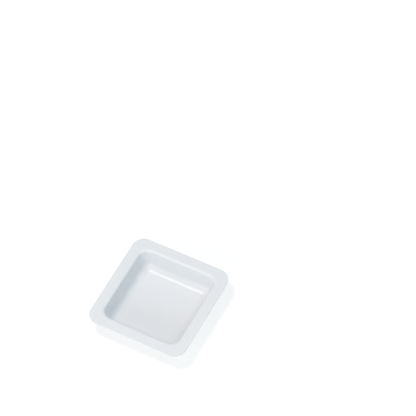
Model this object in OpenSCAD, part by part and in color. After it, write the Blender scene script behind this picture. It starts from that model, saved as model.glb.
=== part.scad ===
// Small square weighing boat, formed in one piece from thin polystyrene sheet.
// It stands on its floor at z = 0, with the middle of the floor at the origin.

/* [Rim] */
// Width of the square rim over its flat sides
rim_width = 41; // [37:0.5:50]
// Radius of the rim's outer corners
rim_corner_radius = 4.7; // [2:0.1:8]
// Width between the inner edges of the rim's flat, where the sheet starts to bend down
rim_opening = 33.8; // [32:0.2:36]
// Radius of that bend, on the underside of the rim
rim_bend = 0.7; // [0.2:0.1:1.2]

/* [Dish] */
// Height from the underside of the floor to the top of the rim
height = 8; // [6:0.5:12]
// Width of the flat of the floor, where the sheet starts to bend up
floor_flat = 22.6; // [20:0.2:25]
// Radius of that bend, inside the dish
floor_bend = 3.4; // [1:0.1:4.4]

/* [Sheet] */
// Thickness of the sheet
sheet = 0.3; // [0.2:0.05:0.6]

/* [Hidden] */
$fn = 128;
arc_steps = 16;

// Each corner turns about an upright axis through the corner of the floor's flat.
// The section is measured out from that axis, so its floor bend is a ball in the corner.
corner_axis = floor_flat / 2;
rim_start = rim_opening / 2 - corner_axis;
floor_centre = [0, sheet + floor_bend];
rim_centre = [rim_start, height - sheet - rim_bend];

// The wall is straight and meets both bends at a tangent, which sets how far it leans from upright
span = rim_centre - floor_centre;
wall_lean = acos((floor_bend + sheet + rim_bend) / norm(span)) - atan2(span.y, span.x);

// The section runs on into the rim's flat by this much, so that the two are one piece
lap = sheet;

function arc(centre, radius, from, to) = [
    for (step = [0 : arc_steps])
        let (angle = from + (to - from) * step / arc_steps)
            centre + radius * [cos(angle), sin(angle)]
];

// The two faces of the sheet, from the end of the floor's flat to the rim's flat
upper_face = concat(
    arc(floor_centre, floor_bend, -90, -wall_lean),
    arc(rim_centre, rim_bend + sheet, 180 - wall_lean, 90),
    [[rim_start + lap, height]]
);
lower_face = concat(
    [[rim_start + lap, height - sheet]],
    arc(rim_centre, rim_bend, 90, 180 - wall_lean),
    arc(floor_centre, floor_bend + sheet, -wall_lean, -90)
);

// A straight side of the dish, with the floor's flat as far as the middle
module side() {
    floor_middle = [[-corner_axis, 0], [-corner_axis, sheet]];
    translate([corner_axis, corner_axis]) rotate([90, 0, 0]) linear_extrude(floor_flat)
        polygon(concat(floor_middle, upper_face, lower_face));
}

// A round corner of the dish
module corner() {
    translate([corner_axis, corner_axis]) rotate_extrude(angle = 90)
        polygon(concat(upper_face, lower_face));
}

module rounded_square(width, radius) {
    straight = width - 2 * radius;
    square([width, straight], center = true);
    square([straight, width], center = true);
    for (turn = [0 : 90 : 270]) rotate(turn) translate([straight, straight] / 2) circle(radius);
}

// The rim's flat, cut to its outline
module rim() {
    translate([0, 0, height - sheet]) linear_extrude(sheet) difference() {
        rounded_square(rim_width, rim_corner_radius);
        rounded_square(rim_opening + lap, rim_start + lap / 2);
    }
}

module weighing_boat() {
    color("whitesmoke") union() {
        for (turn = [0 : 90 : 270]) rotate(turn) {
            side();
            corner();
        }
        rim();
    }
}

weighing_boat();
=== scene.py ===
import math
import bpy
from mathutils import Matrix, Vector


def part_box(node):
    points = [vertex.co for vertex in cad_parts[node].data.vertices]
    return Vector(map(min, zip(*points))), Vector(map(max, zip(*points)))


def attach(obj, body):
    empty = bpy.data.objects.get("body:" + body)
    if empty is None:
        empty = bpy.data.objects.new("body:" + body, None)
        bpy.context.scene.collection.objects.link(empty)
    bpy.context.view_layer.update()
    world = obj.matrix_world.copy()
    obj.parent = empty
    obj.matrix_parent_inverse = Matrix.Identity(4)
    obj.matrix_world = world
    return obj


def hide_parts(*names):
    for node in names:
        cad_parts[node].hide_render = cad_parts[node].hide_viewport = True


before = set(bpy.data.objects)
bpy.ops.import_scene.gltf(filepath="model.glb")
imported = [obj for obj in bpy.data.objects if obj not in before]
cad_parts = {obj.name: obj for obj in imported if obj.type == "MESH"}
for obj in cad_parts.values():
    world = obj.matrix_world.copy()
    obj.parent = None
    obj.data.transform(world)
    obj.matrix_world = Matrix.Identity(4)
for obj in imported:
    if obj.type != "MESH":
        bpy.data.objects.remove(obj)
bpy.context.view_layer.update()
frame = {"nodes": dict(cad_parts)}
boatLow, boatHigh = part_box("weighing_boat")
print("frame loaded:", ", ".join(frame["nodes"]))

# Lengths are in metres, apart from the camera's lens and sensor
quarterTurn = math.pi / 2


# Small helpers for node trees
def addNode(tree, kind, **settings):
    node = tree.nodes.new(kind)
    for setting, value in settings.items():
        setattr(node, setting, value)
    return node


def feed(tree, socket, value):
    if isinstance(value, bpy.types.NodeSocket):
        tree.links.new(value, socket)
    else:
        socket.default_value = value


def maths(tree, operation, *values):
    node = addNode(tree, "ShaderNodeMath", operation=operation)
    for socket, value in zip(node.inputs, values):
        feed(tree, socket, value)
    return node.outputs["Value"]


def point(tree, x=0.0, y=0.0, z=0.0):
    node = addNode(tree, "ShaderNodeCombineXYZ")
    for socket, value in zip(node.inputs, (x, y, z)):
        feed(tree, socket, value)
    return node.outputs["Vector"]


def remap(tree, value, fromEnds, toEnds):
    node = addNode(tree, "ShaderNodeMapRange")
    for socket, end in zip(node.inputs, (value, *fromEnds, *toEnds)):
        feed(tree, socket, end)
    return node.outputs["Result"]


def countOff(tree, value, size):
    # How many whole times size goes into a whole number, and what is left over
    # Half a step is added first, so that rounding can't lose one
    ratio = maths(tree, "DIVIDE", maths(tree, "ADD", value, 0.5), size)
    whole = maths(tree, "FLOOR", ratio)
    return whole, maths(tree, "SUBTRACT", value, maths(tree, "MULTIPLY", whole, size))


def pickByIndex(tree, dataType, values):
    # A field with its own value for each point, in the order of the points
    index = addNode(tree, "GeometryNodeInputIndex")
    node = addNode(tree, "GeometryNodeIndexSwitch", data_type=dataType)
    while len(node.index_switch_items) < len(values):
        node.index_switch_items.new()
    tree.links.new(index.outputs[0], node.inputs["Index"])
    for place, value in enumerate(values):
        feed(tree, node.inputs[str(place)], value)
    return node.outputs[0]


# The white plastic of the boat
plasticLook = {
    "paleColour": (0.793, 0.804, 0.822, 1.0),
    "dullColour": (0.762, 0.775, 0.796, 1.0),
    "cloudSize": 0.006,  # size of the faint clouds in the white
    "cloudDetail": 3.0,
    "cloudContrast": 1.2,
    "drawLineSize": 0.0009,  # width of the faint lines down the walls
    "drawLineContrast": 8.0,
    "smoothRoughness": 0.34,
    "dullRoughness": 0.42,
    "refraction": 1.59,
    "throughGlow": 0.15,  # how much light spreads inside the sheet
    "glowReach": 0.0004,
    "glowSpread": (1.0, 1.0, 1.0),  # red, green and blue reach equally far
    "grainSize": 0.00022,  # the fine satin grain
    "grainDepth": 0.00001,
    "flowSize": 0.0025,  # the soft unevenness that forming leaves
    "flowDepth": 0.00003,
    "fineDetail": 2.0,  # detail of the lines, the grain and the unevenness
}


def noiseField(tree, place, size, detail):
    # Noise that swings to both sides of 0
    noise = addNode(tree, "ShaderNodeTexNoise")
    tree.links.new(place, noise.inputs["Vector"])
    noise.inputs["Scale"].default_value = 1 / size
    noise.inputs["Detail"].default_value = detail
    return maths(tree, "SUBTRACT", noise.outputs["Fac"], 0.5)


def wallLines(tree, place, look):
    # Faint lines down the walls, where forming stretched the sheet, that fade out at floor and rim
    spot = addNode(tree, "ShaderNodeSeparateXYZ")
    tree.links.new(place, spot.inputs[0])
    fromAbove = point(tree, spot.outputs["X"], spot.outputs["Y"])
    lines = noiseField(tree, fromAbove, look["drawLineSize"], look["fineDetail"])
    ramp = addNode(tree, "ShaderNodeMapRange", interpolation_type="SMOOTHSTEP")
    tree.links.new(spot.outputs["Z"], ramp.inputs["Value"])
    ramp.inputs["From Min"].default_value = boatLow.z
    ramp.inputs["From Max"].default_value = boatHigh.z
    climb = ramp.outputs["Result"]
    onWall = maths(tree, "MULTIPLY", climb, maths(tree, "SUBTRACT", 1.0, climb))
    return maths(tree, "MULTIPLY", maths(tree, "MULTIPLY", lines, onWall), look["drawLineContrast"])


def makeWhitePolystyrene(look):
    material = bpy.data.materials.new("whitePolystyrene")
    material.use_nodes = True
    tree = material.node_tree
    shader = tree.nodes["Principled BSDF"]
    place = addNode(tree, "ShaderNodeTexCoord").outputs["Object"]
    clouds = noiseField(tree, place, look["cloudSize"], look["cloudDetail"])
    # 0 is the pale and smooth end and 1 the dull and rough end
    dullness = maths(tree, "MULTIPLY_ADD", clouds, look["cloudContrast"], 0.5)
    dullness = maths(tree, "ADD", dullness, wallLines(tree, place, look))

    tint = addNode(tree, "ShaderNodeMix", data_type="RGBA")
    tree.links.new(dullness, tint.inputs["Factor"])
    tint.inputs["A"].default_value = look["paleColour"]
    tint.inputs["B"].default_value = look["dullColour"]
    tree.links.new(tint.outputs["Result"], shader.inputs["Base Color"])

    satin = remap(tree, dullness, (0.0, 1.0), (look["smoothRoughness"], look["dullRoughness"]))
    tree.links.new(satin, shader.inputs["Roughness"])

    shader.inputs["IOR"].default_value = look["refraction"]
    shader.inputs["Subsurface Weight"].default_value = look["throughGlow"]
    shader.inputs["Subsurface Scale"].default_value = look["glowReach"]
    shader.inputs["Subsurface Radius"].default_value = look["glowSpread"]

    normal = None
    for part in ("flow", "grain"):
        bump = addNode(tree, "ShaderNodeBump")
        bump.inputs["Distance"].default_value = look[part + "Depth"]
        swell = noiseField(tree, place, look[part + "Size"], look["fineDetail"])
        tree.links.new(swell, bump.inputs["Height"])
        if normal:
            tree.links.new(normal, bump.inputs["Normal"])
        normal = bump.outputs["Normal"]
    tree.links.new(normal, shader.inputs["Normal"])
    return material


# The boat: one thin sheet, formed into a square dish with a flat rim
boatSizes = {
    "Rim Width": boatHigh.x - boatLow.x,
    "Height": boatHigh.z - boatLow.z,
    "Sheet": 0.0003,
    "Floor Flat": 0.0226,  # width of the flat of the floor
    "Floor Bend": 0.0034,  # radius inside the dish where the floor turns up
    "Rim Opening": 0.0338,  # width between the inner edges of the rim's flat
    "Rim Bend": 0.0007,  # radius under the rim where it turns down
    "Rim Corner": 0.0047,  # radius of the rim's outer corners
    "Corner Spread": 0.0012,  # how far the corners' axis moves out from the floor to the mouth
    "Cut Edge": 0.00003,  # rounding of the rim's cut edge
    "Ring Spacing": 0.0004,  # widest step between rings of faces
    "Wave Height": 0.00003,  # the slight unevenness of a formed sheet
    "Wave Length": 0.012,
    "Wave Detail": 1.0,  # slow waves only
    "Seam Merge": 0.000001,  # points nearer than this are made one
}
boatSteps = {
    "Bend Steps": 14,
    "Side Steps": 40,
    "Corner Steps": 20,
}


def addSection(tree, size):
    # The wall is straight and meets both bends at a tangent, which sets how far it leans
    flat = maths(tree, "DIVIDE", size["Floor Flat"], 2.0)
    mouth = maths(tree, "DIVIDE", size["Rim Opening"], 2.0)
    edge = maths(tree, "DIVIDE", size["Rim Width"], 2.0)
    underFloorBend = maths(tree, "ADD", size["Floor Bend"], size["Sheet"])
    overRimBend = maths(tree, "ADD", size["Rim Bend"], size["Sheet"])
    across = maths(tree, "SUBTRACT", mouth, flat)
    bendHeights = maths(tree, "ADD", underFloorBend, overRimBend)
    rise = maths(tree, "SUBTRACT", size["Height"], bendHeights)
    riseSquared = maths(tree, "MULTIPLY", rise, rise)
    reach = maths(tree, "SQRT", maths(tree, "MULTIPLY_ADD", across, across, riseSquared))
    bothRadii = maths(tree, "ADD", underFloorBend, size["Rim Bend"])
    toWall = maths(tree, "ARCCOSINE", maths(tree, "DIVIDE", bothRadii, reach))
    lean = maths(tree, "SUBTRACT", toWall, maths(tree, "ARCTAN2", rise, across))
    bentBy = maths(tree, "SUBTRACT", quarterTurn, lean)
    cut = maths(tree, "TANGENT", maths(tree, "DIVIDE", bentBy, 2.0))

    # The section's corners before rounding, out along the upper face and back along the lower
    upperFoot = maths(tree, "MULTIPLY_ADD", size["Floor Bend"], cut, flat)
    upperMouth = maths(tree, "SUBTRACT", mouth, maths(tree, "MULTIPLY", overRimBend, cut))
    lowerFoot = maths(tree, "MULTIPLY_ADD", size["Sheet"], cut, upperFoot)
    lowerMouth = maths(tree, "MULTIPLY_ADD", size["Sheet"], cut, upperMouth)
    underRim = maths(tree, "SUBTRACT", size["Height"], size["Sheet"])
    corners = (
        (flat, size["Sheet"], 0.0),
        (upperFoot, size["Sheet"], size["Floor Bend"]),
        (upperMouth, size["Height"], overRimBend),
        (edge, size["Height"], size["Cut Edge"]),
        (edge, underRim, size["Cut Edge"]),
        (lowerMouth, underRim, size["Rim Bend"]),
        (lowerFoot, 0.0, underFloorBend),
        (flat, 0.0, 0.0),
    )
    line = addNode(tree, "GeometryNodeMeshLine")
    line.inputs["Count"].default_value = len(corners)
    curve = addNode(tree, "GeometryNodeMeshToCurve")
    tree.links.new(line.outputs[0], curve.inputs["Mesh"])
    placed = addNode(tree, "GeometryNodeSetPosition")
    tree.links.new(curve.outputs[0], placed.inputs["Geometry"])
    places = [point(tree, x, 0.0, z) for x, z, radius in corners]
    tree.links.new(pickByIndex(tree, "VECTOR", places), placed.inputs["Position"])
    rounded = addNode(tree, "GeometryNodeFilletCurve", mode="POLY")
    tree.links.new(placed.outputs[0], rounded.inputs["Curve"])
    tree.links.new(size["Bend Steps"], rounded.inputs["Count"])
    radii = [radius for x, z, radius in corners]
    tree.links.new(pickByIndex(tree, "FLOAT", radii), rounded.inputs["Radius"])

    # Long flats are cut into short steps, so that their shading stays flat
    place = addNode(tree, "GeometryNodeInputPosition").outputs[0]
    following = addNode(tree, "GeometryNodeFieldAtIndex", data_type="FLOAT_VECTOR")
    tree.links.new(place, following.inputs["Value"])
    index = addNode(tree, "GeometryNodeInputIndex").outputs[0]
    tree.links.new(maths(tree, "ADD", index, 1.0), following.inputs["Index"])
    gap = addNode(tree, "ShaderNodeVectorMath", operation="DISTANCE")
    tree.links.new(place, gap.inputs[0])
    tree.links.new(following.outputs[0], gap.inputs[1])
    cuts = maths(tree, "FLOOR", maths(tree, "DIVIDE", gap.outputs["Value"], size["Ring Spacing"]))
    evened = addNode(tree, "GeometryNodeSubdivideCurve")
    tree.links.new(rounded.outputs[0], evened.inputs["Curve"])
    tree.links.new(cuts, evened.inputs["Cuts"])
    return evened.outputs[0], flat, mouth, edge


def addBand(tree, size, section, flat, mouth, edge):
    # A grid with one row for each point of the section and one column for each step round the dish
    # Four quarters go round it, and one more column closes it
    points = addNode(tree, "GeometryNodeAttributeDomainSize", component="CURVE")
    tree.links.new(section, points.inputs["Geometry"])
    quarterSteps = maths(tree, "ADD", size["Side Steps"], size["Corner Steps"])
    columns = maths(tree, "MULTIPLY_ADD", quarterSteps, 4.0, 1.0)
    grid = addNode(tree, "GeometryNodeMeshGrid")
    tree.links.new(points.outputs["Point Count"], grid.inputs["Vertices X"])
    tree.links.new(columns, grid.inputs["Vertices Y"])

    # Where a vertex lies on the section
    index = addNode(tree, "GeometryNodeInputIndex").outputs[0]
    ring, step = countOff(tree, index, columns)
    sample = addNode(tree, "GeometryNodeSampleIndex", data_type="FLOAT_VECTOR", domain="POINT")
    tree.links.new(section, sample.inputs["Geometry"])
    tree.links.new(addNode(tree, "GeometryNodeInputPosition").outputs[0], sample.inputs["Value"])
    tree.links.new(ring, sample.inputs["Index"])
    onSection = addNode(tree, "ShaderNodeSeparateXYZ")
    tree.links.new(sample.outputs[0], onSection.inputs[0])
    out, up = onSection.outputs["X"], onSection.outputs["Z"]

    # The corners turn about an axis that starts at the corner of the floor's flat and moves out a
    # little up the wall, then on across the rim to the centre of the rim's own corner
    atMouth = maths(tree, "ADD", flat, size["Corner Spread"])
    atEdge = maths(tree, "SUBTRACT", edge, size["Rim Corner"])
    alongWall = remap(tree, out, (flat, mouth), (flat, atMouth))
    axis = remap(tree, out, (mouth, edge), (alongWall, atEdge))
    radius = maths(tree, "SUBTRACT", out, axis)

    # Where it lies along a quarter turn: first the straight side, then the corner
    quarter, along = countOff(tree, step, quarterSteps)
    side = maths(tree, "MINIMUM", maths(tree, "DIVIDE", along, size["Side Steps"]), 1.0)
    beyond = maths(tree, "MAXIMUM", maths(tree, "SUBTRACT", along, size["Side Steps"]), 0.0)
    turnedBy = maths(tree, "DIVIDE", beyond, size["Corner Steps"])
    angle = maths(tree, "MULTIPLY", turnedBy, quarterTurn)
    x = maths(tree, "MULTIPLY_ADD", radius, maths(tree, "COSINE", angle), axis)
    sideways = maths(tree, "MULTIPLY", axis, maths(tree, "MULTIPLY_ADD", side, 2.0, -1.0))
    y = maths(tree, "MULTIPLY_ADD", radius, maths(tree, "SINE", angle), sideways)
    turned = addNode(tree, "ShaderNodeVectorRotate", rotation_type="Z_AXIS")
    tree.links.new(point(tree, x, y, up), turned.inputs["Vector"])
    tree.links.new(maths(tree, "MULTIPLY", quarter, quarterTurn), turned.inputs["Angle"])
    placed = addNode(tree, "GeometryNodeSetPosition")
    tree.links.new(grid.outputs["Mesh"], placed.inputs["Geometry"])
    tree.links.new(turned.outputs[0], placed.inputs["Position"])
    return placed.outputs[0]


def addFloor(tree, size):
    # The flat of the floor, as a grid for each face of the sheet. The lower one looks down
    corners = maths(tree, "ADD", size["Side Steps"], 1.0)
    under = addNode(tree, "GeometryNodeMeshGrid")
    for socket, value in (("Size X", size["Floor Flat"]), ("Size Y", size["Floor Flat"]),
                          ("Vertices X", corners), ("Vertices Y", corners)):
        tree.links.new(value, under.inputs[socket])
    over = addNode(tree, "GeometryNodeTransform")
    tree.links.new(under.outputs["Mesh"], over.inputs["Geometry"])
    tree.links.new(point(tree, z=size["Sheet"]), over.inputs["Translation"])
    flipped = addNode(tree, "GeometryNodeFlipFaces")
    tree.links.new(under.outputs["Mesh"], flipped.inputs["Mesh"])
    return over.outputs[0], flipped.outputs[0]


def buildBoatTree(sizes, steps, material):
    tree = bpy.data.node_groups.new("formedBoat", "GeometryNodeTree")
    tree.interface.new_socket("Geometry", in_out="OUTPUT", socket_type="NodeSocketGeometry")
    identifiers = {}
    for name in (*sizes, *steps):
        kind = "NodeSocketInt" if name in steps else "NodeSocketFloat"
        socket = tree.interface.new_socket(name, in_out="INPUT", socket_type=kind)
        identifiers[name] = socket.identifier
    size = addNode(tree, "NodeGroupInput").outputs

    section, flat, mouth, edge = addSection(tree, size)
    sheets = addNode(tree, "GeometryNodeJoinGeometry")
    for part in (addBand(tree, size, section, flat, mouth, edge), *addFloor(tree, size)):
        tree.links.new(part, sheets.inputs[0])
    closed = addNode(tree, "GeometryNodeMergeByDistance")
    tree.links.new(sheets.outputs[0], closed.inputs["Geometry"])
    tree.links.new(size["Seam Merge"], closed.inputs["Distance"])

    # Both faces of the sheet rise and fall together, by the same slow noise
    spot = addNode(tree, "ShaderNodeSeparateXYZ")
    tree.links.new(addNode(tree, "GeometryNodeInputPosition").outputs[0], spot.inputs[0])
    noise = addNode(tree, "ShaderNodeTexNoise")
    tree.links.new(point(tree, spot.outputs["X"], spot.outputs["Y"]), noise.inputs["Vector"])
    tree.links.new(maths(tree, "DIVIDE", 1.0, size["Wave Length"]), noise.inputs["Scale"])
    tree.links.new(size["Wave Detail"], noise.inputs["Detail"])
    aroundZero = maths(tree, "SUBTRACT", noise.outputs["Fac"], 0.5)
    swell = maths(tree, "MULTIPLY", aroundZero, size["Wave Height"])
    waved = addNode(tree, "GeometryNodeSetPosition")
    tree.links.new(closed.outputs[0], waved.inputs["Geometry"])
    tree.links.new(point(tree, z=swell), waved.inputs["Offset"])

    smooth = addNode(tree, "GeometryNodeSetShadeSmooth")
    tree.links.new(waved.outputs[0], smooth.inputs["Geometry"])
    real = addNode(tree, "GeometryNodeRealizeInstances")
    tree.links.new(smooth.outputs[0], real.inputs["Geometry"])
    finish = addNode(tree, "GeometryNodeSetMaterial")
    finish.inputs["Material"].default_value = material
    tree.links.new(real.outputs[0], finish.inputs["Geometry"])
    tree.links.new(finish.outputs[0], addNode(tree, "NodeGroupOutput").inputs["Geometry"])
    return tree, identifiers


def makeBoat():
    material = makeWhitePolystyrene(plasticLook)
    tree, identifiers = buildBoatTree(boatSizes, boatSteps, material)
    builder = bpy.data.objects.new("boatBuilder", bpy.data.meshes.new("boatBuilder"))
    bpy.context.scene.collection.objects.link(builder)
    modifier = builder.modifiers.new("formedBoat", "NODES")
    modifier.node_group = tree
    for name, value in {**boatSizes, **boatSteps}.items():
        modifier[identifiers[name]] = value
    evaluated = builder.evaluated_get(bpy.context.evaluated_depsgraph_get())
    mesh = bpy.data.meshes.new_from_object(evaluated)
    bpy.data.objects.remove(builder)
    boat = bpy.data.objects.new("formed_boat", mesh)
    bpy.context.scene.collection.objects.link(boat)
    return boat


boat = makeBoat()
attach(boat, "root")
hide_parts("weighing_boat")
print("boat formed:", len(boat.data.polygons), "faces")


# The pale floor that it stands on, and the room around it
roomLook = {
    "floorColour": (0.80, 0.80, 0.80, 1.0),
    "floorRoughness": 1.0,
    "floorShine": 0.0,
    "floorWidth": 0.6,
    "floorDrop": 0.00003,  # keeps the floor just clear of the uneven sheet
    "shownFloorColour": (0.32, 0.32, 0.32, 1.0),  # instead, where a camera or a reflection sees it
    "shownFloorGlow": 0.73,  # on top of that, so that it shows white and the shadow on it pale
    "fillColour": (0.865, 0.955, 1.0, 1.0),
    "fillStrength": 0.465,
    "shownRoomColour": (1.0, 1.0, 1.0, 1.0),  # what a camera or a reflection sees past the floor
    "shownRoomStrength": 1.0,
}


def chooseShader(tree, onTheWay, shown, output):
    # Light on its way meets the first shader
    # A camera, a reflection or a clear material shows the second
    path = addNode(tree, "ShaderNodeLightPath")
    seen = maths(tree, "MAXIMUM", path.outputs["Is Camera Ray"], path.outputs["Is Glossy Ray"])
    seen = maths(tree, "MAXIMUM", seen, path.outputs["Is Transmission Ray"])
    either = addNode(tree, "ShaderNodeMixShader")
    tree.links.new(seen, either.inputs["Fac"])
    tree.links.new(onTheWay.outputs[0], either.inputs[1])
    tree.links.new(shown.outputs[0], either.inputs[2])
    tree.links.new(either.outputs[0], tree.nodes[output].inputs["Surface"])


def makeFloor(look):
    material = bpy.data.materials.new("paleFloor")
    material.use_nodes = True
    tree = material.node_tree
    plain = tree.nodes["Principled BSDF"]
    shown = addNode(tree, "ShaderNodeBsdfPrincipled")
    for shader, colour in ((plain, look["floorColour"]), (shown, look["shownFloorColour"])):
        shader.inputs["Base Color"].default_value = colour
        shader.inputs["Roughness"].default_value = look["floorRoughness"]
        shader.inputs["Specular IOR Level"].default_value = look["floorShine"]
    shown.inputs["Emission Strength"].default_value = look["shownFloorGlow"]
    chooseShader(tree, plain, shown, "Material Output")

    half = look["floorWidth"] / 2
    low = boatLow.z - look["floorDrop"]
    corners = [(-half, -half, low), (half, -half, low), (half, half, low), (-half, half, low)]
    mesh = bpy.data.meshes.new("floor")
    mesh.from_pydata(corners, [], [(0, 1, 2, 3)])
    mesh.materials.append(material)
    floor = bpy.data.objects.new("floor", mesh)
    bpy.context.scene.collection.objects.link(floor)
    return floor


def makeRoom(look):
    world = bpy.data.worlds.new("room")
    world.use_nodes = True
    bpy.context.scene.world = world
    tree = world.node_tree
    fill = tree.nodes["Background"]
    fill.inputs["Color"].default_value = look["fillColour"]
    fill.inputs["Strength"].default_value = look["fillStrength"]
    white = addNode(tree, "ShaderNodeBackground")
    white.inputs["Color"].default_value = look["shownRoomColour"]
    white.inputs["Strength"].default_value = look["shownRoomStrength"]
    chooseShader(tree, fill, white, "World Output")


floor = makeFloor(roomLook)
makeRoom(roomLook)
print("floor and room made")


# Soft studio lamps, each aimed at the middle of the rim, with turn and rise in degrees
lamps = {
    "overhead": {
        "turn": 180,
        "rise": 76,
        "away": 0.7,
        "width": 0.12,
        "watts": 1.9,
        "colour": (1.0, 0.88, 0.83),
    },
    "lowFront": {
        "turn": -90,
        "rise": 20,
        "away": 0.7,
        "width": 0.4,
        "watts": 1.8,
        "colour": (0.97, 1.0, 1.0),
    },
    "rightSide": {
        "turn": 30,
        "rise": 45,
        "away": 0.7,
        "width": 0.4,
        "watts": 0.73,
        "colour": (0.66, 0.92, 1.0),
    },
}
rimMiddle = Vector(((boatLow.x + boatHigh.x) / 2, (boatLow.y + boatHigh.y) / 2, boatHigh.z))


def directionOf(turn, rise):
    # turn goes round from +X towards +Y, and rise goes up from the level
    turn = math.radians(turn)
    rise = math.radians(rise)
    level = math.cos(rise)
    return Vector((level * math.cos(turn), level * math.sin(turn), math.sin(rise)))


def facing(back, roll=0.0):
    # Cameras and area lamps look along their own -Z, so their own Z points back
    sideways = Vector((0, 0, 1)).cross(back).normalized()
    upright = back.cross(sideways)
    turned = Matrix((sideways, upright, back)).transposed().to_4x4()
    return turned @ Matrix.Rotation(math.radians(roll), 4, "Z")


def hangLamp(name, values):
    data = bpy.data.lights.new(name, "AREA")
    data.shape = "SQUARE"
    data.size = values["width"]
    data.energy = values["watts"]
    data.color = values["colour"]
    lamp = bpy.data.objects.new(name, data)
    back = directionOf(values["turn"], values["rise"])
    lamp.matrix_world = Matrix.Translation(rimMiddle + back * values["away"]) @ facing(back)
    bpy.context.scene.collection.objects.link(lamp)


for lampName, lampValues in lamps.items():
    hangLamp(lampName, lampValues)
print("lamps hung:", len(lamps))


# A long lens looks past the boat, so that it stands low and to the left in the picture
cameraPlace = {
    "pastRimMiddle": (-0.00235, 0.04277),  # where it aims, from the middle of the rim along X and Y
    "turn": -53.45,  # in degrees, as are rise and roll
    "rise": 56.32,
    "roll": -9.36,
    "away": 0.9578,
    "lens": 216.35,  # in millimetres, as is the width of the sensor
    "sensor": 36.0,
    "nearest": 0.01,  # nothing nearer or farther than these is drawn
    "farthest": 20.0,
}


def placeCamera(place):
    data = bpy.data.cameras.new("camera")
    data.lens = place["lens"]
    data.sensor_width = place["sensor"]
    data.clip_start = place["nearest"]
    data.clip_end = place["farthest"]
    camera = bpy.data.objects.new("camera", data)
    target = rimMiddle + Vector((*place["pastRimMiddle"], 0))
    back = directionOf(place["turn"], place["rise"])
    stand = Matrix.Translation(target + back * place["away"])
    camera.matrix_world = stand @ facing(back, place["roll"])
    bpy.context.scene.collection.objects.link(camera)
    bpy.context.scene.camera = camera


placeCamera(cameraPlace)
bpy.context.scene.view_settings.view_transform = "Standard"
print("camera placed")
